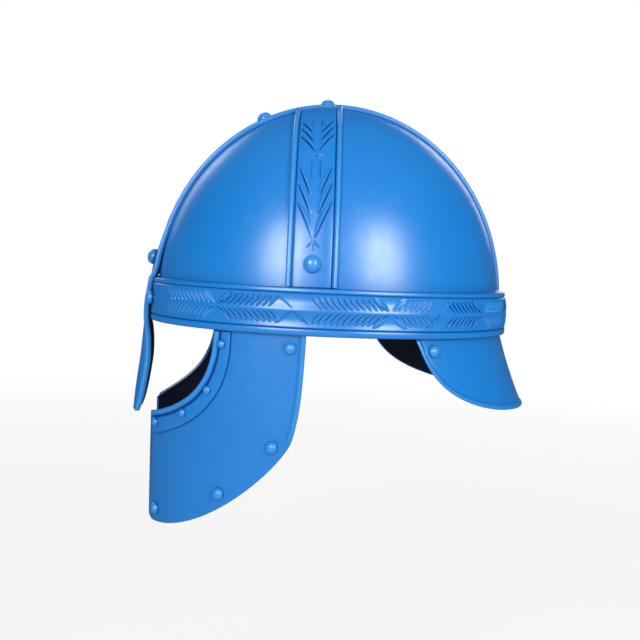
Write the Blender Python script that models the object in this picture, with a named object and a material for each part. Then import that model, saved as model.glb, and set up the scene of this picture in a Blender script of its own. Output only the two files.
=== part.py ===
"""A riveted spangen-type helmet: a bowl of four plates, a crest strap that runs on as the nasal,
two side straps, a brow band, cheek plates with eye trims, and a neck guard.

Metres, +Z up. The wearer looks along -Y and the wearer's left is +X. The origin is on the inside
of the crown, where the helmet sits on a head, so everything hangs below it.
"""

import math

import bmesh
import bpy
from mathutils import Matrix, Vector
from mathutils.geometry import interpolate_bezier

BLUE = (0.018, 0.223, 0.645)     # linear light

# Fits
CLEARANCE = 0.0003          # between any two pieces that touch

# Bowl
BOWL_LENGTH = 0.2360        # outside, front to back at the widest level
BOWL_WIDTH = 0.1900         # outside, across the ears
BOWL_RISE = 0.1288          # widest level up to the crown, outside
BOWL_SKIRT = 0.0180         # straight wall below the widest level
BOWL_WALL = 0.0016
BOWL_FULLNESS = 2.005       # 2 is a plain ellipse, more is fuller at the shoulder
BOWL_FORWARD = 0.0013       # the bowl's centre ahead of the band's
BOWL_SEAM = 0.0005          # gap between its four plates
BOWL_SEAM_Y = -0.0165       # where front and rear plates meet, under the side straps

# Brow band
BAND_STAND_ENDS = 0.0062    # its lower bead stands off the bowl's wall by this, front and back
BAND_STAND_SIDES = 0.0057
BAND_HEIGHT = 0.0287
BAND_BELOW = 0.0200         # widest level down to the band's lower edge
BAND_WALL = 0.0030          # where the plates tuck in behind it
BAND_BEAD = 0.0044          # height of the upper and the lower bead
BAND_GROOVE = 0.0009        # depth of the groove beside each bead
BAND_RIDGE = 0.0004         # how far the middle ridge stands past the lower bead
BAND_SETBACK = 0.0014       # how far the upper bead stands back from the lower one

# Straps
STRAP_WIDTH = 0.0310
STRAP_FIELD = 0.0014        # flat middle of a strap
STRAP_BEAD = 0.0030         # full height of its edge beads
STRAP_BEAD_WIDTH = 0.0036
SIDE_STRAP_AT_BROW = -0.0231    # Y of its centre line where it meets the band
SIDE_STRAP_AT_CROWN = -0.0105
SIDE_STRAP_SWEEP = 0.65         # how late it swings back towards the crown
CREST_LEAVES_BOWL = 22.0        # degrees above the widest level where the crest stands off
CREST_HUG = 0.55                # share of the air under its edges that its bow closes there

# Nasal, the crest strap's lower end
NASAL_DROP = 0.0632         # below the band's lower edge
NASAL_REACH = 0.0080        # tip ahead of the band's face
NASAL_DISH = 0.0068         # how deep its section is bowed

# Plates that tuck in behind the band
PLATE_WALL = 0.0015
PLATE_TUCK = 0.0150         # rise above the band's lower edge, hidden behind it
PLATE_RIM = 0.0036          # width of a plate's raised edge
PLATE_RIM_RISE = 0.0008

CHEEK_DROP = 0.1340         # below the band's lower edge
CHEEK_SETBACK = 0.0012      # front edge short of the foremost point of the oval it follows
CHEEK_CORNER = 0.0026       # rounding of its lower front corner
EYE_DROP = 0.0595           # lowest point of the eye cut, at the cheek's front edge
EYE_REACH = 0.0407          # the eye cut meets the band this far behind the cheek's front edge
CHEEK_SWELL = 0.0042        # the cheeks stand forward of the band by this
CHEEK_TAPER = 0.0055        # and close in by this at the jaw, each side

TRIM_WIDTH = 0.0118         # at the band
TRIM_WIDTH_FRONT = 0.0155   # at the cheek's front edge
TRIM_SETBACK = 0.0030       # its front end behind the cheek's, so that its thickness ends flush
TRIM_RIVET_LINE = 0.52      # share of the width, in from the eye cut
TRIM_FIELD = 0.0012
TRIM_BEAD = 0.0022
TRIM_BEAD_WIDTH = 0.0042

NECK_DROP = 0.0488
NECK_FLARE = 0.0190         # how far its lower edge stands back of the band's plates
NECK_SPREAD = 0.0080        # the same, sideways, each side
NECK_START = 20.7           # degrees behind the ear line where its edge meets the band
NECK_CORNER = 0.47          # 1 is a round edge, less is squarer
NECK_SLANT = 0.11           # how much its sides slant back from the band
NECK_TAB_SETBACK = 1.5      # degrees that the hidden tab ends inside the edge
NECK_DEGREES_PER_METRE = 500.0  # round the guard's wall
NECK_RIM_INSET = 0.08       # share of the way in that the raised rim covers
NECK_INSETS = [0.0, 0.035, 0.07, 0.09, 0.38, 0.69, 1.0]

# Rivets: head diameter and height
STRAP_RIVET = (0.0108, 0.0050)
BROW_RIVET = (0.0090, 0.0040)
CHEEK_RIVET = (0.0076, 0.0034)
TRIM_RIVET = (0.0052, 0.0024)
NECK_RIVET = (0.0078, 0.0034)
CREST_RIVET_ANGLES = {"crown": 92.9, "upper": 114.2}    # up from the back of the widest level
BROW_RIVET_GAP = 0.0128     # crest rivet above the band's upper edge
SIDE_RIVET_ANGLE = 10.3     # degrees above the widest level
BROW_RIVET_HEIGHT = 0.53    # share of the band's height
NECK_RIVET_ANGLE = 26.4     # degrees behind the ear line
NECK_RIVET_DROP = 0.0076    # below the band

# Facets
BOWL_SIDES = 54
BOWL_RINGS = 11
BAND_SIDES = 68
RIVET_SIDES = 12
RIVET_RINGS = 3
CREST_STEPS = 25            # on the bowl
CREST_BRIDGE_STEPS = 7      # from the bowl to the band
SIDE_STRAP_STEPS = 15
CHEEK_COLUMNS = 6           # from the raised edge to the front
TRIM_STEPS = 16
NECK_COLUMNS = 28
CURVE_SAMPLES = 240         # steps along an edge before they are evened out

WIDEST_Z = BOWL_WALL - BOWL_RISE
BAND_BOTTOM = WIDEST_Z - BAND_BELOW
BAND_TOP = BAND_BOTTOM + BAND_HEIGHT
BOWL_HALF = Vector((BOWL_WIDTH / 2, BOWL_LENGTH / 2, BOWL_RISE))
BAND_HALF = Vector((BOWL_WIDTH / 2 + BAND_STAND_SIDES, BOWL_LENGTH / 2 + BAND_STAND_ENDS))
PLATE_HALF = Vector((BAND_HALF.x - BAND_WALL - CLEARANCE, BAND_HALF.y - BAND_WALL - CLEARANCE))
CHEEK_FRONT = PLATE_HALF.y - CHEEK_SETBACK
EYE_BACK = CHEEK_FRONT - EYE_REACH

# Crest strap from the brow down to the nasal's tip. height: share of the band above its lower
# edge, or below it of the nasal's drop; ahead: share of NASAL_REACH past the band's face;
# dish: share of NASAL_DISH; width: share of the strap's width.
NASAL_ROWS = [
    {"height": 1.11, "ahead": -0.22, "dish": 0.41, "width": 1.00},
    {"height": 1.03, "ahead": -0.18, "dish": 0.31, "width": 1.00},
    {"height": 0.98, "ahead": -0.145, "dish": 0.24, "width": 1.00},
    {"height": 0.74, "ahead": -0.01, "dish": 0.25, "width": 1.00},
    {"height": 0.49, "ahead": 0.14, "dish": 0.255, "width": 1.00},
    {"height": 0.22, "ahead": 0.21, "dish": 0.27, "width": 1.00},
    {"height": 0.00, "ahead": 0.27, "dish": 0.37, "width": 1.00},
    {"height": -0.12, "ahead": 0.34, "dish": 0.66, "width": 0.99},
    {"height": -0.26, "ahead": 0.43, "dish": 0.88, "width": 0.97},
    {"height": -0.42, "ahead": 0.54, "dish": 1.00, "width": 0.96},
    {"height": -0.58, "ahead": 0.69, "dish": 1.00, "width": 0.96},
    {"height": -0.72, "ahead": 0.82, "dish": 0.96, "width": 0.95},
    {"height": -0.84, "ahead": 0.91, "dish": 0.86, "width": 0.92},
    {"height": -0.93, "ahead": 0.96, "dish": 0.72, "width": 0.86},
    {"height": -0.98, "ahead": 0.99, "dish": 0.60, "width": 0.79},
    {"height": -1.00, "ahead": 1.00, "dish": 0.50, "width": 0.70},
]

# Across the bead along a strap's or a trim's edge. in: share of the bead's width from the edge;
# high: share of its height.
EDGE_BEAD = [
    {"in": 0.00, "high": 0.62},
    {"in": 0.22, "high": 1.00},
    {"in": 0.70, "high": 1.00},
]

# Up the band's outer face from either edge to the middle ridge. up: share of the bead's height;
# sunk: share of the groove's depth.
BAND_BEAD_ROWS = [
    {"up": 0.00, "sunk": 0.3},
    {"up": 0.20, "sunk": 0.0},
    {"up": 0.75, "sunk": 0.0},
    {"up": 1.00, "sunk": 1.0},
    {"up": 1.18, "sunk": 0.0},
]

# Across a plate's raised edge. in: share of the rim's width from the edge; rise: share of its rise.
PLATE_RIM_ROWS = [
    {"in": 0.0, "rise": 1.0},
    {"in": 0.5, "rise": 1.0},
    {"in": 1.0, "rise": 1.0},
    {"in": 1.3, "rise": 0.0},
]
CHEEK_RIM_ENDS = 0.65       # share of the cheek's drop where its raised edge has died away
CHEEK_RIM_FADE = 0.50       # share of the drop over which it dies away
TAB_ROW = 0.3               # the one row of a hidden tab, as a share of the tuck

# Curves of the cheek's outline as seen from the side. ahead: share of CHEEK_FRONT; drop: share of
# CHEEK_DROP below the band. Each curve is one cubic: end, handle, handle, end.
CHEEK_BACK_CURVES = [
    [{"ahead": 0.208, "drop": 0.00}, {"ahead": 0.213, "drop": 0.19},
     {"ahead": 0.214, "drop": 0.37}, {"ahead": 0.262, "drop": 0.50}],
    [{"ahead": 0.262, "drop": 0.50}, {"ahead": 0.325, "drop": 0.625},
     {"ahead": 0.655, "drop": 0.934}, {"ahead": 0.975, "drop": 1.00}],
]

# Rivets on the cheek: place seen from the side, in the same shares.
CHEEK_RIVETS = [
    {"name": "top", "ahead": 0.285, "drop": 0.061},
    {"name": "rear", "ahead": 0.354, "drop": 0.518},
    {"name": "lower", "ahead": 0.613, "drop": 0.763},
    {"name": "front", "ahead": 0.951, "drop": 0.925},
]

# Rivets along the eye trim: share of the way from the band to the trim's front end.
TRIM_RIVETS = [0.11, 0.475, 0.73, 0.965]


def material(name, colour, roughness):
    made = bpy.data.materials.new(name)
    made.use_nodes = True
    shader = made.node_tree.nodes["Principled BSDF"]
    shader.inputs["Base Color"].default_value = (*colour, 1.0)
    shader.inputs["Roughness"].default_value = roughness
    shader.inputs["Metallic"].default_value = 0.0
    return made


def finish(name, bm, colour, roughness=0.35):
    """Turn a bmesh into a named object with its own material."""
    bmesh.ops.remove_doubles(bm, verts=bm.verts, dist=0.00001)
    bmesh.ops.recalc_face_normals(bm, faces=bm.faces)
    mesh = bpy.data.meshes.new(name)
    bm.to_mesh(mesh)
    bm.free()
    mesh.shade_smooth()
    mesh.set_sharp_from_angle(angle=math.radians(35))
    mesh.materials.append(material(name, colour, roughness))
    made = bpy.data.objects.new(name, mesh)
    bpy.context.scene.collection.objects.link(made)
    return made


def thicken(obj, wall):
    """Give a sheet its wall, grown inwards from the outer face."""
    outward = sum(face.area * face.normal.dot(Vector((*face.center.xy, 0.0)))
                  for face in obj.data.polygons)
    if outward < 0:
        obj.data.flip_normals()
    shell = obj.modifiers.new("wall", "SOLIDIFY")
    shell.thickness = wall
    shell.offset = -1.0
    shell.use_even_offset = True
    shell.use_rim = True
    return obj


def loft(sections):
    """Sweep the first section's face through all the others by extruding the end face."""
    bm = bmesh.new()
    first = [bm.verts.new(point) for point in sections[0]]
    cap = bm.faces.new(first)
    for section in sections[1:]:
        cap = bmesh.ops.extrude_discrete_faces(bm, faces=[cap])["faces"][0]
        for loop, point in zip(cap.loops, section):
            loop.vert.co = point
    bm.faces.new(reversed(first))
    return bm


def sheet(rows):
    """A surface through rows of points, made by extruding the first row's edges."""
    bm = bmesh.new()
    verts = [bm.verts.new(point) for point in rows[0]]
    edges = [bm.edges.new(pair) for pair in zip(verts, verts[1:])]
    for row in rows[1:]:
        made = bmesh.ops.extrude_edge_only(bm, edges=edges)["geom"]
        edges = [item for item in made if isinstance(item, bmesh.types.BMEdge)]
        chain = ordered(edges, verts)
        for vert, point in zip(chain, row):
            vert.co = point
        verts = chain
    return bm


def ordered(edges, before):
    """The new row's vertices in the order of the row that they were extruded from."""
    fresh = {v for e in edges for v in e.verts}
    chain = []
    for old in before:
        linked = [e.other_vert(old) for e in old.link_edges if e.other_vert(old) in fresh]
        chain.append(linked[0])
    return chain


def on_ellipse(half, angle, out=0.0):
    """Point of an upright ellipse, pushed out along its normal. Angle 0 is +X, 90 is +Y."""
    c, s = math.cos(angle), math.sin(angle)
    normal = Vector((c / half.x, s / half.y)).normalized()
    return Vector((half.x * c, half.y * s)) + normal * out


def bowl_normal(point):
    x, y = point.x / BOWL_HALF.x, (point.y + BOWL_FORWARD) / BOWL_HALF.y
    z = (point.z - WIDEST_Z) / BOWL_HALF.z
    around = math.hypot(x, y) ** (BOWL_FULLNESS - 2)
    up = math.copysign(abs(z) ** (BOWL_FULLNESS - 1), z)
    return Vector((around * x / BOWL_HALF.x, around * y / BOWL_HALF.y, up / BOWL_HALF.z)).normalized()


def bowl_point(fixed, axis, angle):
    """Point on the bowl's outside in the slice X = fixed (axis 0) or Y = fixed (axis 1).

    The angle climbs from the other horizontal axis to straight up.
    """
    other = 1 - axis
    centre = Vector((0.0, -BOWL_FORWARD))
    low, high = 0.0, 1.2
    for _ in range(40):
        reach = (low + high) / 2
        flat = [0.0, 0.0]
        flat[axis] = (fixed - centre[axis]) / BOWL_HALF[axis]
        flat[other] = reach * math.cos(angle)
        rise = abs(reach * math.sin(angle))
        level = math.hypot(*flat) ** BOWL_FULLNESS + rise ** BOWL_FULLNESS
        low, high = (reach, high) if level < 1 else (low, reach)
    place = [0.0, 0.0, WIDEST_Z + BOWL_HALF.z * reach * math.sin(angle)]
    place[axis] = fixed
    place[other] = centre[other] + BOWL_HALF[other] * reach * math.cos(angle)
    return Vector(place)


def strap_heights(half):
    """Across a strap: distance from its centre line and height of its outer face."""
    side = [(half - row["in"] * STRAP_BEAD_WIDTH, row["high"] * STRAP_BEAD) for row in EDGE_BEAD]
    side.append((half - STRAP_BEAD_WIDTH, STRAP_FIELD))
    return side + [(0.0, STRAP_FIELD)] + [(-across, high) for across, high in reversed(side)]


def strap_section(seat, half):
    """A closed section: seat(across, height) gives the point over the surface it lies on."""
    outer = [seat(across, CLEARANCE + high) for across, high in strap_heights(half)]
    inner = [seat(half * share, CLEARANCE) for share in (-1.0, -0.5, 0.0, 0.5, 1.0)]
    return outer + inner


def crest_seat(angle):
    def seat(across, height):
        point = bowl_point(across, 0, angle)
        return point + bowl_normal(point) * height
    return seat


def crest_hug(place, outward):
    """How far the strap may bow before its edges meet the bowl, from a place on its centre line."""
    half = STRAP_WIDTH / 2
    flat = (1 - (half / BOWL_HALF.x) ** 2 - ((place.z - WIDEST_Z) / BOWL_HALF.z) ** 2) ** 0.5
    bowl_y = -BOWL_FORWARD - BOWL_HALF.y * flat
    return (Vector((0.0, bowl_y, place.z)) - place).dot(-outward)


def nasal_path():
    """Centre line of the crest strap's underside from the bowl down to the nasal's tip."""
    rows = []
    face = -BAND_HALF.y - CLEARANCE
    for row in NASAL_ROWS:
        span = BAND_HEIGHT if row["height"] > 0 else NASAL_DROP
        rows.append({"place": Vector((0.0, face - row["ahead"] * NASAL_REACH,
                                      BAND_BOTTOM + row["height"] * span)),
                     "dish": row["dish"] * NASAL_DISH,
                     "half": row["width"] * STRAP_WIDTH / 2})
    leave = math.radians(180.0 - CREST_LEAVES_BOWL)
    top = bowl_point(0.0, 0, leave)
    along = bowl_normal(top)
    along = Vector((0.0, -along.z, along.y))
    along = along if along.z < 0 else -along
    end = rows[0]["place"]
    down = (rows[1]["place"] - end).normalized()
    reach = (top - end).length / 3
    points = interpolate_bezier(top, top + along * reach, end - down * reach, end,
                                CREST_BRIDGE_STEPS + 1)
    edge = bowl_point(STRAP_WIDTH / 2, 0, leave)
    start_dish = (top - edge).dot(bowl_normal(top))
    stand_off = []
    for before, point, after in zip(points, points[1:], points[2:]):
        travel = (after - before).normalized()
        room = crest_hug(point, Vector((0.0, travel.z, -travel.y)))
        dish = start_dish + CREST_HUG * max(room - start_dish, 0.0)
        stand_off.append({"place": point, "dish": dish, "half": STRAP_WIDTH / 2})
    return stand_off + rows


def nasal_seat(place, outward, dish, half):
    def seat(across, height):
        bow = dish * (across / half) ** 2
        slope = 2 * dish * across / half ** 2
        normal = (outward + Vector((slope, 0.0, 0.0))).normalized()
        return place + Vector((across, 0.0, 0.0)) - outward * bow + normal * (height - CLEARANCE)
    return seat


def build_crest_strap():
    start = math.asin((BAND_TOP + CLEARANCE * 2 - WIDEST_Z) / BOWL_HALF.z)
    end = math.radians(180.0 - CREST_LEAVES_BOWL)
    sections = []
    for step in range(CREST_STEPS + 1):
        angle = start + (end - start) * step / CREST_STEPS
        sections.append(strap_section(crest_seat(angle), STRAP_WIDTH / 2))
    path = nasal_path()
    last = bowl_point(0.0, 0, end)
    for index, station in enumerate(path):
        before = path[index - 1]["place"] if index else last
        after = path[min(index + 1, len(path) - 1)]["place"]
        along = (after - before).normalized()
        outward = Vector((0.0, along.z, -along.y))
        seat = nasal_seat(station["place"], outward, station["dish"], station["half"])
        sections.append(strap_section(seat, station["half"]))
    return finish("crest_strap", loft(sections), BLUE)


def side_strap_centre(angle):
    swing = abs(math.cos(angle)) ** SIDE_STRAP_SWEEP
    return SIDE_STRAP_AT_CROWN + (SIDE_STRAP_AT_BROW - SIDE_STRAP_AT_CROWN) * swing


def side_strap_seat(angle, side):
    centre = side_strap_centre(angle)

    def seat(across, height):
        point = bowl_point(centre + across * side, 1, angle)
        point = point + bowl_normal(point) * height
        return Vector((point.x * side, point.y, point.z))
    return seat


def build_side_strap(name, side):
    half = STRAP_WIDTH / 2
    start = math.asin((BAND_TOP + CLEARANCE * 2 - WIDEST_Z) / BOWL_HALF.z)
    end = math.acos((half + CLEARANCE * 2.5) / BOWL_HALF.x)
    sections = []
    for step in range(SIDE_STRAP_STEPS + 1):
        angle = start + (end - start) * step / SIDE_STRAP_STEPS
        sections.append(strap_section(side_strap_seat(angle, side), half))
    return finish(name, loft(sections), BLUE)


def bowl_sheet():
    """The bowl's whole outer face as one open sheet."""
    bm = bmesh.new()
    profile = []
    for step in range(BOWL_RINGS + 1):
        angle = math.pi / 2 * (1 - step / BOWL_RINGS)
        around = max(math.cos(angle), 0.0) ** (2 / BOWL_FULLNESS) if step else 0.0
        up = max(math.sin(angle), 0.0) ** (2 / BOWL_FULLNESS) if step < BOWL_RINGS else 0.0
        profile.append(bm.verts.new((around, 0.0, up)))
    profile.append(bm.verts.new((1.0, 0.0, -BOWL_SKIRT / BOWL_RISE)))
    edges = [bm.edges.new(pair) for pair in zip(profile, profile[1:])]
    bmesh.ops.spin(bm, geom=profile + edges, axis=(0, 0, 1), cent=(0, 0, 0),
                   angle=2 * math.pi, steps=BOWL_SIDES, use_merge=True)
    bmesh.ops.remove_doubles(bm, verts=bm.verts, dist=0.0001)
    bmesh.ops.transform(bm, verts=bm.verts, matrix=Matrix.Translation((0, -BOWL_FORWARD, WIDEST_Z))
                        @ Matrix.Diagonal((*BOWL_HALF, 1.0)))
    return bm


def build_bowl_plate(name, side, end):
    """A quarter of the bowl. Its seams lie under the crest strap and the side straps."""
    bm = bowl_sheet()
    for spot, away in ((Vector((side * BOWL_SEAM / 2, 0.0, 0.0)), Vector((-side, 0.0, 0.0))),
                       (Vector((0.0, BOWL_SEAM_Y + end * BOWL_SEAM / 2, 0.0)),
                        Vector((0.0, -end, 0.0)))):
        bmesh.ops.bisect_plane(bm, geom=bm.verts[:] + bm.edges[:] + bm.faces[:], dist=0.00001,
                               plane_co=spot, plane_no=away, clear_outer=True)
    return thicken(finish(name, bm, BLUE), BOWL_WALL)


def band_face(height):
    """Outer face of the band at a height above its lower edge: distance past the band's oval."""
    share = height / BAND_HEIGHT
    return BAND_RIDGE * (1 - (2 * share - 1) ** 2) - BAND_SETBACK * share ** 3


def build_brow_band():
    """A closed section spun round, then pressed to the bowl inside and the band's oval outside."""
    lower = [(row["up"] * BAND_BEAD, row["sunk"] * BAND_GROOVE) for row in BAND_BEAD_ROWS]
    upper = [(BAND_HEIGHT - height, sunk) for height, sunk in reversed(lower)]
    middle = [(BAND_HEIGHT / 2, -BAND_RIDGE)]
    face = [(band_face(height) - sunk, height) for height, sunk in lower + middle + upper]
    seat_z = PLATE_TUCK + 2 * CLEARANCE
    bm = bmesh.new()
    oval, inside = 1.0, 0.5
    ring = [bm.verts.new((oval + out, 0.0, z)) for out, z in face]
    ring.append(bm.verts.new((inside, 0.0, BAND_HEIGHT)))
    ring.append(bm.verts.new((inside, 0.0, seat_z)))
    ring.append(bm.verts.new((oval - BAND_WALL, 0.0, seat_z)))
    ring.append(bm.verts.new((oval - BAND_WALL, 0.0, 0.0)))
    edges = [bm.edges.new(pair) for pair in zip(ring, ring[1:] + ring[:1])]
    bmesh.ops.spin(bm, geom=ring + edges, axis=(0, 0, 1), cent=(0, 0, 0),
                   angle=2 * math.pi, steps=BAND_SIDES, use_merge=True)
    bowl_oval = BOWL_HALF.xy
    for vert in bm.verts:
        spun = vert.co.xy.length
        angle = math.atan2(vert.co.y, vert.co.x)
        if spun < (oval + inside) / 2:
            flat = on_ellipse(bowl_oval, angle, CLEARANCE) - Vector((0.0, BOWL_FORWARD))
        else:
            flat = on_ellipse(BAND_HALF, angle, spun - oval)
        vert.co = (*flat, BAND_BOTTOM + vert.co.z)
    return finish("brow_band", bm, BLUE)


def cheek_half(drop):
    """Half width and half length of the oval that the cheeks' outer faces follow at a depth."""
    eye = min(max(drop, 0.0) / EYE_DROP, 1.0)
    jaw = max(drop - EYE_DROP, 0.0) / (CHEEK_DROP - EYE_DROP)
    return Vector((PLATE_HALF.x - CHEEK_TAPER * (0.36 * eye + 0.64 * jaw),
                   PLATE_HALF.y + CHEEK_SWELL * (1 - (1 - eye) ** 2) - 0.7 * CHEEK_SWELL * jaw ** 1.5))


def cheek_point(ahead, drop, out=0.0):
    """Point on the left cheek's outer face from its place in the side view."""
    half = cheek_half(drop)
    angle = -math.asin(min(ahead / half.y, 0.999))
    flat = on_ellipse(half, angle, out)
    return Vector((flat.x, flat.y, BAND_BOTTOM - drop))


def cheek_normal(ahead, drop):
    step = 0.001
    here = cheek_point(ahead, drop)
    fore = cheek_point(ahead + step, drop) - here
    down = cheek_point(ahead, drop + step) - here
    return fore.cross(down).normalized()


def bezier(ends, count):
    points = [Vector((end["ahead"] * CHEEK_FRONT, end["drop"] * CHEEK_DROP)) for end in ends]
    return interpolate_bezier(points[0], points[1], points[2], points[3], count)


def eye_curve(count):
    """The eye cut seen from the side, from the band to the cheek's front edge."""
    start = Vector((EYE_BACK, 0.0))
    end = Vector((CHEEK_FRONT, EYE_DROP))
    return interpolate_bezier(start, start + Vector((0.0, 0.56 * EYE_DROP)),
                              end - Vector((0.68 * (CHEEK_FRONT - EYE_BACK), 0.20 * EYE_DROP)),
                              end, count)


def build_cheek_plate(name, side):
    """Rows run from the eye cut or the front edge back to the rear and lower edge."""
    front_corner = Vector((CHEEK_FRONT, CHEEK_DROP - CHEEK_CORNER))
    eye = eye_curve(9)
    front = [eye[-1].lerp(front_corner, step / 3) for step in (1, 2, 3)]
    bend = Vector((0.25 * CHEEK_CORNER, -0.65 * CHEEK_CORNER))
    back = bezier(CHEEK_BACK_CURVES[0], 6) + bezier(CHEEK_BACK_CURVES[1], 8)[1:]
    tabs = [-PLATE_TUCK, -TAB_ROW * PLATE_TUCK]
    front_edge = [Vector((EYE_BACK, tab)) for tab in tabs] + eye + front + [front_corner - bend]
    back_edge = [Vector((back[0].x, tab)) for tab in tabs] + back
    rows = []
    for fore, aft in zip(front_edge, back_edge):
        rim = PLATE_RIM / ((fore - aft).length + PLATE_RIM)
        fade = (CHEEK_RIM_ENDS - aft.y / CHEEK_DROP) / CHEEK_RIM_FADE
        fade = min(max(fade, 0.0), 1.0) if aft.y > 0 else 0.0
        spots = [(row["in"] * rim, row["rise"] * PLATE_RIM_RISE * fade) for row in PLATE_RIM_ROWS]
        inner = spots[-1][0]
        spots += [(inner + (1 - inner) * column / CHEEK_COLUMNS, 0.0)
                  for column in range(1, CHEEK_COLUMNS + 1)]
        row = []
        for share, rise in spots:
            spot = aft.lerp(fore, share)
            point = cheek_point(spot.x, spot.y, rise)
            row.append(Vector((point.x * side, point.y, point.z)))
        rows.append(row)
    return thicken(finish(name, sheet(rows), BLUE), PLATE_WALL)


def trim_curve(count):
    """The eye cut as far as the trim follows it."""
    front = CHEEK_FRONT - TRIM_SETBACK
    return evenly([spot for spot in eye_curve(CURVE_SAMPLES) if spot.x < front], count)


def trim_inward(curve, index):
    """Side-view direction across the trim: square to the eye cut, turning straight down in front."""
    before = curve[max(index - 1, 0)]
    after = curve[min(index + 1, len(curve) - 1)]
    along = (after - before).normalized()
    turned = (index / (len(curve) - 1)) ** 3
    return Vector((-along.y, along.x)).lerp(Vector((0.0, 1.0)), turned).normalized()


def trim_spot(spot, inward, across):
    """Side-view place that lies a real distance in from the eye cut, over the bent plate."""
    probe = 0.001
    here = cheek_point(spot.x, spot.y)
    stretch = (cheek_point(*(spot + inward * probe)) - here).length / probe
    return spot + inward * (across / stretch)


def trim_width(share):
    return TRIM_WIDTH + (TRIM_WIDTH_FRONT - TRIM_WIDTH) * share


def build_eye_trim(name, side):
    curve = trim_curve(TRIM_STEPS)
    bead = [(row["in"] * TRIM_BEAD_WIDTH, row["high"] * TRIM_BEAD) for row in EDGE_BEAD]
    bead.append((TRIM_BEAD_WIDTH, TRIM_FIELD))
    sections = []
    for index, spot in enumerate(curve):
        inward = trim_inward(curve, index)
        width = trim_width(index / (len(curve) - 1))
        section = []
        for across, high in bead + [(width, TRIM_FIELD), (width, 0.0), (width / 2, 0.0), (0.0, 0.0)]:
            place = trim_spot(spot, inward, across)
            place.y = max(place.y, 3 * CLEARANCE)
            point = cheek_point(place.x, place.y, CLEARANCE + high)
            section.append(Vector((point.x * side, max(point.y, -CHEEK_FRONT), point.z)))
        sections.append(section)
    return finish(name, loft(sections), BLUE)


def neck_point(angle, drop, out=0.0):
    """Point on the neck guard's outer face. Angle 0 is the left ear line, 90 straight back."""
    share = max(drop, 0.0) / NECK_DROP
    half = Vector((PLATE_HALF.x + NECK_SPREAD * share,
                   PLATE_HALF.y + NECK_FLARE * (0.75 * share + 0.25 * share ** 2)))
    flat = on_ellipse(half, math.radians(angle), out)
    return Vector((flat.x, flat.y, BAND_BOTTOM - drop))


def evenly(points, count):
    """The same line with its points at equal steps along it."""
    lengths = [0.0]
    for before, after in zip(points, points[1:]):
        lengths.append(lengths[-1] + (after - before).length)
    spaced = []
    index = 0
    for step in range(count + 1):
        target = lengths[-1] * step / count
        while index < len(points) - 2 and lengths[index + 1] < target:
            index += 1
        share = (target - lengths[index]) / (lengths[index + 1] - lengths[index])
        spaced.append(points[index].lerp(points[index + 1], share))
    return spaced


def neck_edge():
    """The guard's edge as (degrees from straight back, drop), from the left end to the right."""
    sweep = 90.0 - NECK_START
    edge = []
    for step in range(CURVE_SAMPLES + 1):
        turn = math.pi * step / CURVE_SAMPLES
        across = math.cos(turn)
        drop = math.sin(turn)
        slant = NECK_SLANT * drop * (1 - drop) ** 2
        bent = math.copysign(abs(across) ** NECK_CORNER - slant, across)
        edge.append(Vector((sweep * bent / NECK_DEGREES_PER_METRE, NECK_DROP * drop)))
    spaced = evenly(edge, NECK_COLUMNS)
    return [Vector((point.x * NECK_DEGREES_PER_METRE, point.y)) for point in spaced]


def build_neck_guard():
    """Rows follow the guard's edge, from the edge itself to the line where it goes behind the
    band, and one more row is the top of its hidden tab."""
    tab_sweep = 90.0 - NECK_START - NECK_TAB_SETBACK
    edges = neck_edge()
    tops = [Vector((tab_sweep * (1 - 2 * column / NECK_COLUMNS), 0.0))
            for column in range(NECK_COLUMNS + 1)]
    rows = []
    for inset in NECK_INSETS:
        row = []
        for edge, top in zip(edges, tops):
            place = edge.lerp(top, inset)
            shown = min(max(place.y / (0.1 * NECK_DROP), 0.0), 1.0)
            rise = PLATE_RIM_RISE * shown if inset < NECK_RIM_INSET else 0.0
            row.append(neck_point(90.0 - place.x, place.y, rise))
        rows.append(row)
    rows.append([neck_point(90.0 - top.x, -PLATE_TUCK) for top in tops])
    return thicken(finish("neck_guard", sheet(rows), BLUE), PLATE_WALL)


def build_rivet(name, size, place, normal):
    """A domed head whose flat underside lies on its seat, a clearance above it."""
    width, height = size
    bm = bmesh.new()
    profile = [bm.verts.new((0.0, 0.0, height))]
    for step in range(1, RIVET_RINGS + 1):
        angle = math.pi / 2 * (1 - step / RIVET_RINGS)
        profile.append(bm.verts.new((width / 2 * math.cos(angle), 0.0, height * math.sin(angle))))
    edges = [bm.edges.new(pair) for pair in zip(profile, profile[1:])]
    bmesh.ops.spin(bm, geom=profile + edges, axis=(0, 0, 1), cent=(0, 0, 0),
                   angle=2 * math.pi, steps=RIVET_SIDES, use_merge=True)
    bmesh.ops.remove_doubles(bm, verts=bm.verts, dist=0.00001)
    bmesh.ops.holes_fill(bm, edges=[e for e in bm.edges if e.is_boundary], sides=0)
    turn = Vector((0, 0, 1)).rotation_difference(normal).to_matrix().to_4x4()
    bmesh.ops.transform(bm, verts=bm.verts,
                        matrix=Matrix.Translation(place + normal * CLEARANCE) @ turn)
    return finish(name, bm, BLUE)


def crest_front(height):
    """Place and outward direction on the crest's centre line at a height on its front."""
    leave = bowl_point(0.0, 0, math.radians(180.0 - CREST_LEAVES_BOWL))
    line = [leave + bowl_normal(leave) * CLEARANCE] + [row["place"] for row in nasal_path()]
    for upper, lower in zip(line, line[1:]):
        if lower.z <= height <= upper.z:
            along = (lower - upper).normalized()
            share = (upper.z - height) / (upper.z - lower.z)
            return upper.lerp(lower, share), Vector((0.0, along.z, -along.y))
    return line[-1], Vector((0.0, -1.0, 0.0))


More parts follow.
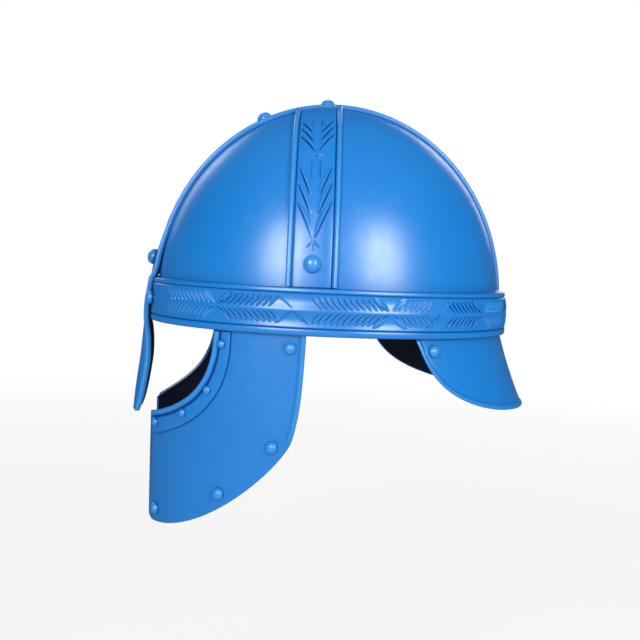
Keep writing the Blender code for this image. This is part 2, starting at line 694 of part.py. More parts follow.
def build_crest_rivets():
    for name, angle in CREST_RIVET_ANGLES.items():
        seat = crest_seat(math.radians(angle))
        base = seat(0.0, CLEARANCE + STRAP_FIELD)
        build_rivet(f"rivet_crest_{name}", STRAP_RIVET, base, bowl_normal(base))
    place, outward = crest_front(BAND_TOP + BROW_RIVET_GAP)
    build_rivet("rivet_crest_brow", STRAP_RIVET, place + outward * STRAP_FIELD, outward)


def build_side_rivets(name, side):
    """The rivets of one side: strap, brow band, cheek plate, eye trim and neck guard."""
    def put(label, size, place, normal):
        place = Vector((place.x * side, place.y, place.z))
        normal = Vector((normal.x * side, normal.y, normal.z))
        build_rivet(f"rivet_{label}_{name}", size, place, normal)

    angle = math.radians(SIDE_RIVET_ANGLE)
    base = side_strap_seat(angle, 1)(0.0, CLEARANCE + STRAP_FIELD)
    put("strap", STRAP_RIVET, base, bowl_normal(base))

    beside = STRAP_WIDTH / 2 + BROW_RIVET[0] / 2 + CLEARANCE
    angle = -math.acos(beside / BAND_HALF.x)
    height = BAND_HEIGHT * BROW_RIVET_HEIGHT
    flat = on_ellipse(BAND_HALF, angle, band_face(height) + BAND_RIDGE)
    out = (on_ellipse(BAND_HALF, angle, 1.0) - on_ellipse(BAND_HALF, angle)).to_3d()
    put("brow", BROW_RIVET, Vector((*flat, BAND_BOTTOM + height)), out)

    for rivet in CHEEK_RIVETS:
        ahead, drop = rivet["ahead"] * CHEEK_FRONT, rivet["drop"] * CHEEK_DROP
        put("cheek_" + rivet["name"], CHEEK_RIVET, cheek_point(ahead, drop), cheek_normal(ahead, drop))

    curve = trim_curve(CURVE_SAMPLES)
    for number, share in enumerate(TRIM_RIVETS, start=1):
        index = round(share * CURVE_SAMPLES)
        inward = trim_inward(curve, index)
        spot = trim_spot(curve[index], inward, TRIM_RIVET_LINE * trim_width(share))
        lift = CLEARANCE + TRIM_FIELD
        place = cheek_point(spot.x, spot.y, lift)
        put(f"trim_{number}", TRIM_RIVET, place, cheek_normal(spot.x, spot.y))

    place = neck_point(NECK_RIVET_ANGLE, NECK_RIVET_DROP)
    below = neck_point(NECK_RIVET_ANGLE, NECK_RIVET_DROP + 0.001) - place
    beyond = neck_point(NECK_RIVET_ANGLE + 1.0, NECK_RIVET_DROP) - place
    put("neck", NECK_RIVET, place, below.cross(beyond).normalized())


def main():
    for obj in list(bpy.data.objects):
        bpy.data.objects.remove(obj)
    build_brow_band()
    build_crest_strap()
    for name, side in (("left", 1), ("right", -1)):
        build_bowl_plate(f"bowl_plate_front_{name}", side, -1)
        build_bowl_plate(f"bowl_plate_rear_{name}", side, 1)
        build_side_strap(f"side_strap_{name}", side)
        build_cheek_plate(f"cheek_plate_{name}", side)
        build_eye_trim(f"eye_trim_{name}", side)
        build_side_rivets(name, side)
    build_crest_rivets()
    build_neck_guard()


main()
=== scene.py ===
import bisect
import math

import bmesh
import bpy
from mathutils import Matrix, Vector
from mathutils.geometry import interpolate_bezier


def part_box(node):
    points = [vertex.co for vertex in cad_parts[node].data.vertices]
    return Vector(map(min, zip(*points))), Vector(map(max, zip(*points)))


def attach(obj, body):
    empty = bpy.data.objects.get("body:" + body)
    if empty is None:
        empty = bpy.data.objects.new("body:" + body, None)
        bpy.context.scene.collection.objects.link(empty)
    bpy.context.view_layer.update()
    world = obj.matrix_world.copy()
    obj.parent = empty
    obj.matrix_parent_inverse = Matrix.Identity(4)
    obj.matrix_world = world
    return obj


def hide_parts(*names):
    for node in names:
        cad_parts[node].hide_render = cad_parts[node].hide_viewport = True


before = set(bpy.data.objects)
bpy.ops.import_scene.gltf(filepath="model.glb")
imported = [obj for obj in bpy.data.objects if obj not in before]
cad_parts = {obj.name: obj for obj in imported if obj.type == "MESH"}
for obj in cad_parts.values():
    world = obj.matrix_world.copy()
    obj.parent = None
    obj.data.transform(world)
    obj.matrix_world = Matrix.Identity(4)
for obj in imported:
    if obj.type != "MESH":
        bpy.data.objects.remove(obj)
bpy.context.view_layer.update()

# Lengths are metres. -Y is the way the wearer looks, +X the wearer's left, and the origin is
# inside the crown.
sides = {"left": 1, "right": -1}
fit = 0.0003                      # air between pieces that touch
mm = 0.001

bowl = {
    "length": 0.2360,
    "width": 0.1900,
    "rise": 0.1288,               # widest level up to the crown
    "skirt": 0.0180,              # straight wall below it
    "wall": 0.0016,
    "forward": 0.0013,            # centre ahead of the band's centre
    "seam": 0.0005,
    "seamY": -0.0165,             # front and rear plates meet here, under the side straps
    "sidesRound": 216,
    "rings": 54,
}
bowl["widestZ"] = bowl["wall"] - bowl["rise"]
bowl["half"] = Vector((bowl["width"] / 2, bowl["length"] / 2, bowl["rise"]))

band = {
    "length": 0.2484,
    "width": 0.2014,
    "height": 0.0287,
    "wall": 0.0030,               # where the plates tuck in behind it
    "bead": 0.0044,               # height of its lower bead
    "upperBead": 0.0031,
    "middle": 0.0154,             # level of the leaves' middle ridge above the lower edge
    "groove": 0.0009,
    "ridge": 0.0004,              # the middle ridge stands past the beads by this
    "setback": 0.0014,            # the upper bead stands behind the lower one by this
    "field": 0.0008,              # the ground of the leaves lies below the plain face by this
    "margin": 0.0008,             # and is level with the face this far from a bead
    "stations": 320,
}
band["bottom"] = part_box("brow_band")[0].z
band["top"] = band["bottom"] + band["height"]
band["half"] = Vector((band["width"] / 2, band["length"] / 2))

strap = {
    "width": 0.0310,
    "field": 0.0014,              # height of its flat middle
    "bead": 0.0030,
    "beadWidth": 0.0036,
}

plate = {
    "wall": 0.0015,
    "tuck": 0.0150,               # how far it reaches up behind the band
}
plate["half"] = Vector((band["half"].x - band["wall"] - fit, band["half"].y - band["wall"] - fit))


def linear(code):
    channels = [int(code[at:at + 2], 16) / 255 for at in (0, 2, 4)]
    flat = [c / 12.92 if c <= 0.04045 else ((c + 0.055) / 1.055) ** 2.4 for c in channels]
    return (*flat, 1.0)


def addNode(tree, kind, settings=None, links=None):
    node = tree.nodes.new(kind)
    for name, value in (settings or {}).items():
        setattr(node, name, value)
    for name, value in (links or {}).items():
        socket = node.inputs[name]
        if isinstance(value, bpy.types.NodeSocket):
            tree.links.new(value, socket)
        else:
            socket.default_value = value
    return node


def perMetre(millimetres):
    return 1000.0 / millimetres


def newMaterial(name):
    made = bpy.data.materials.new(name)
    made.use_nodes = True
    tree = made.node_tree
    return made, tree, tree.nodes["Principled BSDF"]


# Stoved enamel, sprayed and baked on pressed steel. It is an even, saturated blue with a satin
# skin. Painted shade makes it darker, and less glossy, beside a raised edge and in grooves; a painted
# highlight makes it paler on raised crests.
enamel = {
    "name": "stovedBlueEnamel",
    "body": "0a78c8",
    "cloud": "0673c3",            # the slow drift of a hand-sprayed coat
    # The next two colours are painted shade for grooves and recesses, and a painted highlight for
    # raised crests.
    "paintedShade": "053f85",
    "paintedHighlight": "4fa4e8",
    "cloudSize": 38.0,            # mm
    "orangePeel": 1.6,            # mm between crests, as sprayed enamel dries
    "peelDepth": 0.000012,
    "hammer": 21.0,               # mm, the planishing that still shows through
    "hammerDepth": 0.00010,
    "satinPatch": 6.0,            # mm, over which its gloss drifts
    "roughness": (0.28, 0.35),
    "ior": 1.5,
    "coat": 0.04,
    "coatRoughness": 0.22,
    "shine": 1.0,                 # specular level: baked enamel mirrors a little more than paint
    "paintedShadeShine": 0.25,          # specular level inside the painted shade of grooves and recesses
    "reliefLow": -0.4,            # relief in mm below the plain face where the painted shade is full
    "reliefPaler": 0.3,           # relief in mm where the painted highlight starts, and where it is full
    "reliefHigh": 1.2,
    "highlightShare": 0.32,             # share of the painted highlight colour there
}


def makeEnamel():
    made, tree, shader = newMaterial(enamel["name"])
    place = addNode(tree, "ShaderNodeTexCoord").outputs["Object"]
    cloud = addNode(tree, "ShaderNodeTexNoise", {"noise_dimensions": "3D"},
                    {"Vector": place, "Scale": perMetre(enamel["cloudSize"]), "Detail": 3.0,
                     "Roughness": 0.45})
    sprayed = addNode(tree, "ShaderNodeMix", {"data_type": "RGBA"},
                      {"Factor": cloud.outputs["Fac"], 6: linear(enamel["body"]),
                       7: linear(enamel["cloud"])})
    # Painted shade: the colour darkens where the relief is below the plain face.
    relief = addNode(tree, "ShaderNodeAttribute", {"attribute_name": "relief"})
    paintedShade = addNode(tree, "ShaderNodeMapRange", {"interpolation_type": "SMOOTHSTEP"},
                     {"Value": relief.outputs["Fac"], "From Min": 0.0,
                      "From Max": enamel["reliefLow"]})
    dark = addNode(tree, "ShaderNodeMix", {"data_type": "RGBA"},
                   {"Factor": paintedShade.outputs["Result"], 6: sprayed.outputs[2],
                    7: linear(enamel["paintedShade"])})
    # Painted highlight: the colour turns paler where the relief stands high.
    crest = addNode(tree, "ShaderNodeMapRange", {"interpolation_type": "SMOOTHSTEP"},
                    {"Value": relief.outputs["Fac"], "From Min": enamel["reliefPaler"],
                     "From Max": enamel["reliefHigh"], "To Max": enamel["highlightShare"]})
    highlighted = addNode(tree, "ShaderNodeMix", {"data_type": "RGBA"},
                   {"Factor": crest.outputs["Result"], 6: dark.outputs[2],
                    7: linear(enamel["paintedHighlight"])})
    tree.links.new(highlighted.outputs[2], shader.inputs["Base Color"])

    grain = addNode(tree, "ShaderNodeTexNoise", {"noise_dimensions": "3D"},
                    {"Vector": place, "Scale": perMetre(enamel["satinPatch"]), "Detail": 4.0,
                     "Roughness": 0.6})
    satin = addNode(tree, "ShaderNodeMapRange", {},
                    {"Value": grain.outputs["Fac"], "From Min": 0.3, "From Max": 0.7,
                     "To Min": enamel["roughness"][0], "To Max": enamel["roughness"][1]})
    tree.links.new(satin.outputs["Result"], shader.inputs["Roughness"])

    hammered = addNode(tree, "ShaderNodeTexNoise", {"noise_dimensions": "3D"},
                       {"Vector": place, "Scale": perMetre(enamel["hammer"]), "Detail": 1.0,
                        "Roughness": 0.3})
    planished = addNode(tree, "ShaderNodeBump", {},
                        {"Height": hammered.outputs["Fac"], "Distance": enamel["hammerDepth"]})
    peel = addNode(tree, "ShaderNodeTexNoise", {"noise_dimensions": "3D"},
                   {"Vector": place, "Scale": perMetre(enamel["orangePeel"]), "Detail": 2.0,
                    "Roughness": 0.5})
    skin = addNode(tree, "ShaderNodeBump", {},
                   {"Height": peel.outputs["Fac"], "Distance": enamel["peelDepth"],
                    "Normal": planished.outputs["Normal"]})
    tree.links.new(skin.outputs["Normal"], shader.inputs["Normal"])
    shader.inputs["IOR"].default_value = enamel["ior"]
    # Gloss is turned down inside the painted shade too.
    gloss = addNode(tree, "ShaderNodeMapRange", {},
                    {"Value": paintedShade.outputs["Result"], "To Min": enamel["shine"],
                     "To Max": enamel["paintedShadeShine"]})
    tree.links.new(gloss.outputs["Result"], shader.inputs["Specular IOR Level"])
    shader.inputs["Coat Weight"].default_value = enamel["coat"]
    shader.inputs["Coat Roughness"].default_value = enamel["coatRoughness"]
    return made


# The inside faces take a near-black blue, painted shade that stands for the shade inside the shell:
# nearly black in the shade, navy where light falls on it, and patchy at random.
insideShade = {
    "name": "paintedInsideShade",
    "body": "081226",
    "bloom": "0d1a34",
    "bloomSize": 24.0,            # mm
    "runDepth": 0.00006,
    "roughness": 0.55,
    "shine": 0.22,
}


def makeInsideShade():
    made, tree, shader = newMaterial(insideShade["name"])
    place = addNode(tree, "ShaderNodeTexCoord").outputs["Object"]
    bloom = addNode(tree, "ShaderNodeTexNoise", {"noise_dimensions": "3D"},
                    {"Vector": place, "Scale": perMetre(insideShade["bloomSize"]), "Detail": 5.0,
                     "Roughness": 0.6})
    tone = addNode(tree, "ShaderNodeMix", {"data_type": "RGBA"},
                   {"Factor": bloom.outputs["Fac"], 6: linear(insideShade["body"]),
                    7: linear(insideShade["bloom"])})
    tree.links.new(tone.outputs[2], shader.inputs["Base Color"])
    skin = addNode(tree, "ShaderNodeBump", {},
                   {"Height": bloom.outputs["Fac"], "Distance": insideShade["runDepth"],
                    "Strength": 0.6})
    tree.links.new(skin.outputs["Normal"], shader.inputs["Normal"])
    shader.inputs["Roughness"].default_value = insideShade["roughness"]
    shader.inputs["Specular IOR Level"].default_value = insideShade["shine"]
    return made


blueEnamel = makeEnamel()
paintedShadeInside = makeInsideShade()
print("materials made")


def startMesh():
    # relief is the height in mm past the piece's plain face, for the enamel, which paints shade where
    # it is low and a highlight where it is high
    bm = bmesh.new()
    bm.verts.layers.float.new("relief")
    return bm


def addGrid(bm, columns, rows, place, inside=None):
    # A grid whose corners go where place(column, row) says; inside(column) picks the faces that take
    # the painted inside shade.
    layer = bm.verts.layers.float["relief"]
    verts = bmesh.ops.create_grid(bm, x_segments=columns, y_segments=rows, size=1.0)["verts"]
    steps = {}
    for vert in verts:
        column = round((vert.co.x + 1) / 2 * columns)
        row = round((vert.co.y + 1) / 2 * rows)
        steps[vert] = column
        vert.co, vert[layer] = place(column, row)
    if inside:
        for face in {face for vert in verts for face in vert.link_faces}:
            if inside(min(steps[vert] for vert in face.verts)):
                face.material_index = 1


def addTurned(bm, profile, steps, put):
    # A profile of reaches and heights turned round Z; put(point) says where each point goes.
    def place(column, row):
        reach, height = profile[column]
        turn = 2 * math.pi * row / steps
        return put(Vector((reach * math.cos(turn), reach * math.sin(turn), height)))

    addGrid(bm, len(profile) - 1, steps, place)
    bmesh.ops.remove_doubles(bm, verts=bm.verts, dist=0.00001)


def finishPiece(name, bm, replaced, sharp=32.0, wall=None, merge=0.00001):
    bmesh.ops.remove_doubles(bm, verts=bm.verts, dist=merge)
    bmesh.ops.dissolve_degenerate(bm, dist=merge / 10, edges=bm.edges)
    bmesh.ops.recalc_face_normals(bm, faces=bm.faces)
    mesh = bpy.data.meshes.new(name)
    bm.to_mesh(mesh)
    bm.free()
    mesh.shade_smooth()
    mesh.set_sharp_from_angle(angle=math.radians(sharp))
    mesh.materials.append(blueEnamel)
    mesh.materials.append(paintedShadeInside)
    piece = bpy.data.objects.new(name, mesh)
    bpy.context.scene.collection.objects.link(piece)
    if wall:
        shell = piece.modifiers.new("wall", "SOLIDIFY")
        shell.thickness = wall
        shell.offset = -1.0
        shell.use_even_offset = True
        # The inner wall takes the painted inside shade.
        shell.material_offset = 1
        shell.material_offset_rim = 0
    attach(piece, "root")
    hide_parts(*replaced)
    return piece


def ovalPoint(half, angle, out=0.0):
    c, s = math.cos(angle), math.sin(angle)
    normal = Vector((c / half.x, s / half.y)).normalized()
    return Vector((half.x * c, half.y * s)) + normal * out


def bowlNormal(point):
    half = bowl["half"]
    return Vector((point.x / half.x ** 2, (point.y + bowl["forward"]) / half.y ** 2,
                   (point.z - bowl["widestZ"]) / half.z ** 2)).normalized()


def bowlPoint(fixed, axis, angle):
    # The bowl's outer face in the slice X = fixed (axis 0) or Y = fixed (axis 1); the angle climbs
    # from the other level axis to straight up.
    half, centre = bowl["half"], (0.0, -bowl["forward"])
    other = 1 - axis
    reach = math.sqrt(1 - ((fixed - centre[axis]) / half[axis]) ** 2)
    place = Vector((0.0, 0.0, bowl["widestZ"] + half.z * reach * math.sin(angle)))
    place[axis] = fixed
    place[other] = centre[other] + half[other] * reach * math.cos(angle)
    return place


def buildBowlPlate(name, side, end):
    bm = startMesh()
    angles = [math.pi / 2 * (1 - step / bowl["rings"]) for step in range(bowl["rings"] + 1)]
    profile = [(math.cos(angle), math.sin(angle)) for angle in angles]
    profile += [(1.0, -share * bowl["skirt"] / bowl["rise"]) for share in (0.35, 0.7, 1.0)]
    half = bowl["half"]

    def put(point):
        return Vector((half.x * point.x, half.y * point.y - bowl["forward"],
                       half.z * point.z + bowl["widestZ"])), 0.0

    addTurned(bm, profile, bowl["sidesRound"], put)
    cuts = [(Vector((side * bowl["seam"] / 2, 0, 0)), Vector((-side, 0, 0))),
            (Vector((0, bowl["seamY"] + end * bowl["seam"] / 2, 0)), Vector((0, -end, 0)))]
    for spot, away in cuts:
        bmesh.ops.bisect_plane(bm, geom=bm.verts[:] + bm.edges[:] + bm.faces[:], dist=0.00001,
                               plane_co=spot, plane_no=away, clear_outer=True)
    return finishPiece("shell_" + name, bm, [name], wall=bowl["wall"])


for sideName, side in sides.items():
    for endName, end in (("front", -1), ("rear", 1)):
        buildBowlPlate(f"bowl_plate_{endName}_{sideName}", side, end)
print("bowl plates raised")


# A ribbon is a row of stations along a strip's centre line. Each knows its place, the way out of
# the strip's face, the way across it, how deep it is bowed and its half width.
def station(place, outward, across, dish=0.0, half=1.0):
    return {"place": place, "outward": outward, "across": across, "dish": dish, "half": half}


def measure(stations):
    lengths = [0.0]
    for before, after in zip(stations, stations[1:]):
        lengths.append(lengths[-1] + (after["place"] - before["place"]).length)
    return {"stations": stations, "lengths": lengths}


def stationPoint(one, across, height):
    bow = one["dish"] * (across / one["half"]) ** 2
    slope = 2 * one["dish"] * across / one["half"] ** 2
    normal = (one["outward"] + one["across"] * slope).normalized()
    return one["place"] + one["across"] * across - one["outward"] * bow + normal * height


def ribbonPoint(ribbon, along, across, height):
    lengths, stations = ribbon["lengths"], ribbon["stations"]
    along = min(max(along, 0.0), lengths[-1])
    index = min(bisect.bisect_right(lengths, along), len(lengths) - 1)
    share = (along - lengths[index - 1]) / (lengths[index] - lengths[index - 1])
    before = stationPoint(stations[index - 1], across, height)
    return before.lerp(stationPoint(stations[index], across, height), share)


# One leaf of the chased ornament: steep along one edge, fading into the ground along the other.
# across: share of the half width, towards the steep side; height: share of the lift, and none is
# sunk into the ground; relief in mm, where given, paints a dark line of shade along the leaf's foot.
blade = {
    "steps": 14,
    "sunk": 0.0003,
    "foot": 0.00006,
    "section": [{"across": -1.0, "height": None}, {"across": -0.80, "height": 0.02},
                {"across": 0.00, "height": 0.40}, {"across": 0.50, "height": 0.92},
                {"across": 0.74, "height": 1.00}, {"across": 0.90, "height": 0.80},
                # The flat strip at the leaf's foot is a painted shade line.
                {"across": 1.02, "height": 0.0, "relief": -0.8},
                {"across": 1.46, "height": 0.0, "relief": -0.8}, {"across": 1.70, "height": None},
                {"across": 0.3, "height": None}],
}


def addBlade(bm, wrap, root, tip, width, lift, bow, sharpSide):
    # root and tip are (along, across) on the strip; bow bends the leaf towards its steep side.
    root, tip = Vector(root), Vector(tip)
    line = tip - root
    square = Vector((-line.y, line.x)).normalized() * sharpSide
    middle = root.lerp(tip, 0.5) + square * bow
    section = blade["section"]

    def place(column, row):
        share = row / blade["steps"]
        centre = root.lerp(middle, share).lerp(middle.lerp(tip, share), share)
        swell = math.sin(math.pi * share) ** 0.5
        part = section[column % len(section)]
        spot = centre + square * ((part["across"] - 0.9) * width / 2 * swell)
        if part["height"] is None:
            return wrap(spot.x, spot.y, -blade["sunk"]), -0.2
        height = blade["foot"] + lift * swell * part["height"]
        return wrap(spot.x, spot.y, height), part.get("relief", 1000 * height)

    addGrid(bm, len(section), blade["steps"], place)


def strapSection():
    half, bead, field = strap["width"] / 2, strap["bead"], strap["field"]
    wide = strap["beadWidth"]
    edge = [(half, 0.25 * bead), (half, 0.55 * bead), (half - 0.10 * wide, 0.80 * bead),
            (half - 0.26 * wide, 0.96 * bead), (half - 0.44 * wide, bead),
            (half - 0.62 * wide, 0.95 * bead), (half - 0.80 * wide, 0.76 * bead),
            (half - 0.93 * wide, 0.75 * field), (half - 1.02 * wide, 0.62 * field),
            (half - 1.12 * wide, 0.88 * field), (half - 1.30 * wide, field)]
    flat = [(half * share, field) for share in (0.36, 0.18, 0.0, -0.18, -0.36)]
    outer = edge + flat + [(-across, height) for across, height in reversed(edge)]
    under = [(-half + 2 * half * step / 6, 0.0) for step in range(7)]
    return outer, under


def addStrapBody(bm, ribbon):
    outer, under = strapSection()
    section = outer + under
    full = strap["width"] / 2

    def place(column, row):
        one = ribbon["stations"][row]
        across, height = section[column % len(section)]
        # Below the field, in the groove beside each bead, the enamel paints shade.
        relief = 0.0 if abs(across) == full else 1000 * (height - strap["field"])
        return stationPoint(one, across * one["half"] / full, height), relief

    addGrid(bm, len(section), len(ribbon["stations"]) - 1, place,
            inside=lambda column: len(outer) <= column < len(section) - 1)
    bmesh.ops.remove_doubles(bm, verts=bm.verts, dist=0.00001)
    bmesh.ops.holes_fill(bm, edges=[edge for edge in bm.edges if edge.is_boundary], sides=0)


# Leaf ear on a strap, in mm: along is from the ear's foot towards the crown, across from the
# strap's centre line. Each row is a pair, one leaf on each side.
earLeaves = [
    {"root": 0.0, "rootAcross": 1.0, "tip": 24.0, "tipAcross": 10.8, "width": 3.4, "bow": -1.3},
    {"root": 14.5, "rootAcross": 2.3, "tip": 36.0, "tipAcross": 10.4, "width": 3.4, "bow": -1.0},
    {"root": 27.5, "rootAcross": 2.8, "tip": 47.0, "tipAcross": 9.9, "width": 3.2, "bow": -0.8},
]
earStem = {"from": 37.5, "to": 52.5, "across": 2.8, "width": 1.1, "lift": 0.5}
earFoot = {"apex": -0.6, "foot": -5.4, "across": 4.2, "width": 1.4, "lift": 0.4}
earStalk = {"from": -2.6, "to": -7.6, "width": 0.9, "lift": 0.4}
earLift = 0.0011                  # a leaf's, of which each lift above is a share


def addEar(bm, wrap, start, scale):
    facing = math.copysign(1.0, scale)

    def stroke(root, tip, width, share, bow, side):
        addBlade(bm, wrap, (start + root[0] * mm * scale, root[1] * mm),
                 (start + tip[0] * mm * scale, tip[1] * mm), width * mm, share * earLift,
                 bow * mm, side * facing)

    for side in (1, -1):
        for leaf in earLeaves:
            stroke((leaf["root"], side * leaf["rootAcross"]), (leaf["tip"], side * leaf["tipAcross"]),
                   leaf["width"], 1.0, leaf["bow"], side)
        across = side * earStem["across"]
        stroke((earStem["from"], across), (earStem["to"], 0.9 * across), earStem["width"],
               earStem["lift"], 0.0, side)
        stroke((earFoot["apex"], 0.0), (earFoot["foot"], side * earFoot["across"]),
               earFoot["width"], earFoot["lift"], 0.0, -side)
    stroke((earStalk["from"], 0.0), (earStalk["to"], 0.0), earStalk["width"], earStalk["lift"],
           0.0, 1)


def strapWrap(ribbon):
    def wrap(along, across, height):
        return ribbonPoint(ribbon, along, across, strap["field"] + height)
    return wrap


sideStrap = {
    "atBrow": -0.0231,            # Y of its centre line at the band
    "atCrown": -0.0105,
    "sweep": 0.65,
    "stations": 90,
    "ears": [{"start": 0.0288, "scale": 1.0}, {"start": 0.0885, "scale": 0.64}],
}


def sideStrapRibbon(side):
    half = strap["width"] / 2
    start = math.asin((band["top"] + fit * 2 - bowl["widestZ"]) / bowl["half"].z)
    end = math.acos((half + fit * 2.5) / bowl["half"].x)
    stations = []
    for step in range(sideStrap["stations"] + 1):
        angle = start + (end - start) * step / sideStrap["stations"]
        swing = math.cos(angle) ** sideStrap["sweep"]
        centre = sideStrap["atCrown"] + (sideStrap["atBrow"] - sideStrap["atCrown"]) * swing
        place = bowlPoint(centre, 1, angle)
        out = bowlNormal(place)
        cross = (Vector((0, 1, 0)) - out * out.y).normalized()
        edges = [bowlPoint(centre + way * half, 1, angle) for way in (1, -1)]
        dish = -sum((edge - place).dot(out) for edge in edges) / 2
        stations.append(station(place + out * fit, out, cross, dish, half))
    for one in stations:
        for key in ("place", "outward", "across"):
            one[key] = Vector((one[key].x * side, one[key].y, one[key].z))
    return measure(stations)


def buildSideStrap(name, side):
    ribbon = sideStrapRibbon(side)
    bm = startMesh()
    addStrapBody(bm, ribbon)
    for ear in sideStrap["ears"]:
        addEar(bm, strapWrap(ribbon), ear["start"], ear["scale"])
    return finishPiece("leafed_" + name, bm, [name])


for sideName, side in sides.items():
    buildSideStrap("side_strap_" + sideName, side)
print("side straps chased")


crest = {
    "leavesBowl": 22.0,           # degrees above the widest level
    "stationsOnBowl": 170,
    "stationsInFront": 90,
    "nasalDrop": 0.0632,          # below the band's lower edge
    "nasalReach": 0.0080,
    "nasalDish": 0.0068,
    "spanPoints": 8,
    "hug": 0.62,                  # share of the air under its edges that its bow closes
    # start is from its rear end, and a scale below 0 turns the ear's foot to the front.
    "ears": [{"start": 0.0190, "scale": 0.90}, {"start": 0.0760, "scale": 0.90},
             {"start": 0.1330, "scale": 0.90}, {"start": 0.2250, "scale": -0.52},
             {"start": 0.2880, "scale": -0.85}, {"start": 0.3410, "scale": -0.85}],
}
# From the brow down to the nasal's tip. height: share of the band above its lower edge, or below
# it of the nasal's drop; the others: shares of the reach, the dish and the strap's width.
nasalRows = [
    {"height": 1.11, "ahead": -0.22, "dish": 0.46, "width": 1.00},
    {"height": 1.03, "ahead": -0.18, "dish": 0.36, "width": 1.00},
    {"height": 0.98, "ahead": -0.145, "dish": 0.24, "width": 1.00},
    {"height": 0.74, "ahead": -0.01, "dish": 0.25, "width": 1.00},
    {"height": 0.49, "ahead": 0.14, "dish": 0.255, "width": 1.00},
    {"height": 0.22, "ahead": 0.21, "dish": 0.27, "width": 1.00},
    {"height": 0.00, "ahead": 0.27, "dish": 0.37, "width": 1.00},
    {"height": -0.12, "ahead": 0.34, "dish": 0.66, "width": 0.99},
    {"height": -0.26, "ahead": 0.43, "dish": 0.88, "width": 0.97},
    {"height": -0.42, "ahead": 0.54, "dish": 1.00, "width": 0.96},
    {"height": -0.58, "ahead": 0.69, "dish": 1.00, "width": 0.96},
    {"height": -0.72, "ahead": 0.82, "dish": 0.96, "width": 0.95},
    {"height": -0.84, "ahead": 0.91, "dish": 0.86, "width": 0.92},
    {"height": -0.93, "ahead": 0.96, "dish": 0.72, "width": 0.86},
    {"height": -0.98, "ahead": 0.99, "dish": 0.60, "width": 0.79},
    {"height": -1.00, "ahead": 1.00, "dish": 0.50, "width": 0.70},
]


def smoothed(values, share):
    # Catmull-Rom through a list of vectors, share from 0 to 1 along the list
    spot = share * (len(values) - 1)
    index = min(int(spot), len(values) - 2)
    t = spot - index
    a, b, c, d = (values[min(max(index + step, 0), len(values) - 1)] for step in (-1, 0, 1, 2))
    return 0.5 * ((2 * b) + (c - a) * t + (2 * a - 5 * b + 4 * c - d) * t ** 2
                  + (3 * b - a - 3 * c + d) * t ** 3)


def crestSpan(top, foot, heading):
    # The strap's free run from the bowl down to the band: Y, Z, dish and half width
    half = strap["width"] / 2
    along = top["outward"].cross(top["across"])
    along = along if along.z < 0 else -along
    reach = (top["place"] - foot).length / 3
    free = interpolate_bezier(top["place"], top["place"] + along * reach, foot - heading * reach,
                              foot, crest["spanPoints"])
    span = []
    for before, point, after in zip(free, free[1:], free[2:]):
        travel = (after - before).normalized()
        rise = (point.z - bowl["widestZ"]) / bowl["half"].z
        flat = math.sqrt(1 - (half / bowl["half"].x) ** 2 - rise ** 2)
        behind = Vector((0.0, -bowl["forward"] - bowl["half"].y * flat, point.z))
        room = (behind - point).dot(Vector((0.0, -travel.z, travel.y)))
        dish = top["dish"] + crest["hug"] * max(room - top["dish"], 0.0)
        span.append(Vector((point.y, point.z, dish, half)))
    return span


def crestRibbon():
    half = strap["width"] / 2
    start = math.asin((band["top"] + fit * 2 - bowl["widestZ"]) / bowl["half"].z)
    end = math.radians(180.0 - crest["leavesBowl"])
    across = Vector((1, 0, 0))
    stations = []
    for step in range(crest["stationsOnBowl"] + 1):
        angle = start + (end - start) * step / crest["stationsOnBowl"]
        place = bowlPoint(0.0, 0, angle)
        out = bowlNormal(place)
        dish = (place - bowlPoint(half, 0, angle)).dot(out)
        stations.append(station(place + out * fit, out, across, dish, half))
    face = -band["half"].y - fit
    rows = []
    for row in nasalRows:
        span = band["height"] if row["height"] > 0 else crest["nasalDrop"]
        rows.append(Vector((face - row["ahead"] * crest["nasalReach"],
                            band["bottom"] + row["height"] * span,
                            row["dish"] * crest["nasalDish"], row["width"] * half)))
    top = stations[-1]
    foot = Vector((0.0, rows[0].x, rows[0].y))
    heading = Vector((0.0, rows[1].x - rows[0].x, rows[1].y - rows[0].y)).normalized()
    leaving = Vector((top["place"].y, top["place"].z, top["dish"], half))
    rows = [leaving] + crestSpan(top, foot, heading) + rows
    fine = [smoothed(rows, step / crest["stationsInFront"])
            for step in range(crest["stationsInFront"] + 1)]
    for index in range(1, len(fine)):
        after = fine[min(index + 1, len(fine) - 1)]
        travel = Vector((0.0, after.x - fine[index - 1].x, after.y - fine[index - 1].y))
        travel.normalize()
        out = Vector((0.0, travel.z, -travel.y))
        one = fine[index]
        stations.append(station(Vector((0.0, one.x, one.y)), out, across, one.z, one.w))
    return measure(stations)


def buildCrestStrap():
    ribbon = crestRibbon()
    bm = startMesh()
    addStrapBody(bm, ribbon)
    for ear in crest["ears"]:
        addEar(bm, strapWrap(ribbon), ear["start"], ear["scale"])
    return finishPiece("leafed_crest_strap", bm, ["crest_strap"])


buildCrestStrap()
print("crest strap chased")


def bandFace(z):
    # Outer face of the band at height z above its lower edge, past the band's oval
    share = z / band["height"]
    return band["ridge"] * (1 - (2 * share - 1) ** 2) - band["setback"] * share ** 3


def bandGround(z):
    # The ground the leaves lie on: hollow between each bead and the middle ridge
    middle, lower = band["middle"], band["bead"] + band["margin"]
    upper = band["height"] - band["upperBead"] - band["margin"]
    share = min(max((z - middle) / (upper - middle), (middle - z) / (middle - lower)), 1.0)
    hollow = math.sin(math.pi * share)
    return bandFace(z) + band["ridge"] * (1 - share) - band["field"] * hollow


def bandBead(low, tall):
    section = []
    for turn in range(0, 181, 20):
        swing = math.radians(turn)
        z = low + tall / 2 * (1 - math.cos(swing))
        section.append((z, bandFace(z) - band["groove"] * (1 - math.sin(swing) ** 0.6)))
    return section


